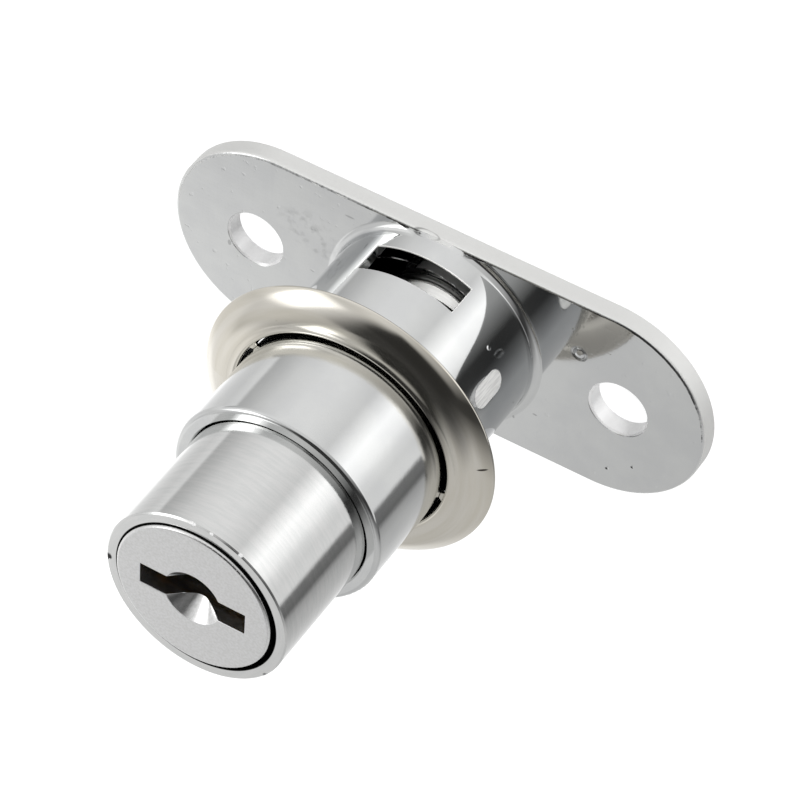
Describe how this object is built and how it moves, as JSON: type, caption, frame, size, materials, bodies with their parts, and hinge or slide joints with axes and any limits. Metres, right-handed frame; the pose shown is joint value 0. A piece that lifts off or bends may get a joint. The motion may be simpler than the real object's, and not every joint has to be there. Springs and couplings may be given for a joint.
{
  "type": "plunger lock",
  "caption": "Push-in plunger lock with a two-hole flange, round barrel, sliding trim ring, spring plunger with a slotted key plug, and a bolt that comes out at the back.",
  "frame": {"origin": "middle of the flange's back face, which lies on the door or the floor", "axes": "+Z along the lock towards the key, +X along the flange"},
  "size_m": [0.0582, 0.031, 0.0435],
  "materials": {
    "barrel_chrome": "bright chrome on a zinc die casting, lightly tumbled",
    "key_steel": "bright steel, fine axial scratches",
    "ring_nickel": "bright warm nickel on pressed sheet",
    "plunger_chrome": "satin chrome, brushed round its axis",
    "plug_satin": "fine sand-blasted matte face, polished cone",
    "bolt_steel": "turned steel",
    "spring_steel": "drawn spring wire",
    "latch_steel": "stamped steel",
    "wafer_brass": "stamped brass"
  },
  "bodies": {
    "housing": {"housing": "barrel_chrome", "guide_key": "key_steel", "stop_pin": "key_steel", "return_spring": "spring_steel"},
    "rosette": {"rosette": "ring_nickel"},
    "plunger": {"plunger": "plunger_chrome", "bolt": "bolt_steel", "plug_clip": "spring_steel", "latch_spring_left": "spring_steel", "latch_spring_right": "spring_steel"},
    "plug": {"plug": "plug_satin", "drive_pin": "bolt_steel", "wafer_spring_1": "spring_steel", "wafer_spring_2": "spring_steel", "wafer_spring_3": "spring_steel", "wafer_spring_4": "spring_steel", "wafer_spring_5": "spring_steel"},
    "latch": {"latch": "latch_steel"},
    "wafer_1": {"wafer_1": "wafer_brass"},
    "wafer_2": {"wafer_2": "wafer_brass"},
    "wafer_3": {"wafer_3": "wafer_brass"},
    "wafer_4": {"wafer_4": "wafer_brass"},
    "wafer_5": {"wafer_5": "wafer_brass"}
  },
  "joints": [
    {"name": "plunger_slide", "type": "slide", "parent": "housing", "child": "plunger", "axis": [0, 0, -1], "range_m": [0, 0.01], "stiffness_N_per_m": 400, "springref_m": -0.008, "deforming": ["return_spring"]},
    {"name": "rosette_slide", "type": "slide", "parent": "housing", "child": "rosette", "axis": [0, 0, 1], "range_m": [-0.014, 0.01]},
    {"name": "plug_turn", "type": "hinge", "parent": "plunger", "child": "plug", "pos_m": [-0.00012, 0.00016, 0.04355], "axis": [0, 0, -1], "range_deg": [0, 45]},
    {"name": "latch_slide", "type": "slide", "parent": "plunger", "child": "latch", "axis": [0, -1, 0], "range_m": [0, 0.0006], "deforming": ["latch_spring_left", "latch_spring_right"]},
    {"name": "wafer_1_slide", "type": "slide", "parent": "plug", "child": "wafer_1", "axis": [1, 0, 0], "range_m": [-0.0006, 0], "deforming": ["wafer_spring_1"]},
    {"name": "wafer_2_slide", "type": "slide", "parent": "plug", "child": "wafer_2", "axis": [-1, 0, 0], "range_m": [-0.0006, 0], "deforming": ["wafer_spring_2"]},
    {"name": "wafer_3_slide", "type": "slide", "parent": "plug", "child": "wafer_3", "axis": [1, 0, 0], "range_m": [-0.0006, 0], "deforming": ["wafer_spring_3"]},
    {"name": "wafer_4_slide", "type": "slide", "parent": "plug", "child": "wafer_4", "axis": [-1, 0, 0], "range_m": [-0.0006, 0], "deforming": ["wafer_spring_4"]},
    {"name": "wafer_5_slide", "type": "slide", "parent": "plug", "child": "wafer_5", "axis": [1, 0, 0], "range_m": [-0.0006, 0], "deforming": ["wafer_spring_5"]}
  ],
  "couplings": [
    {"joint": "latch_slide", "follows": "plug_turn", "m_per_rad": 0.000763}
  ]
}
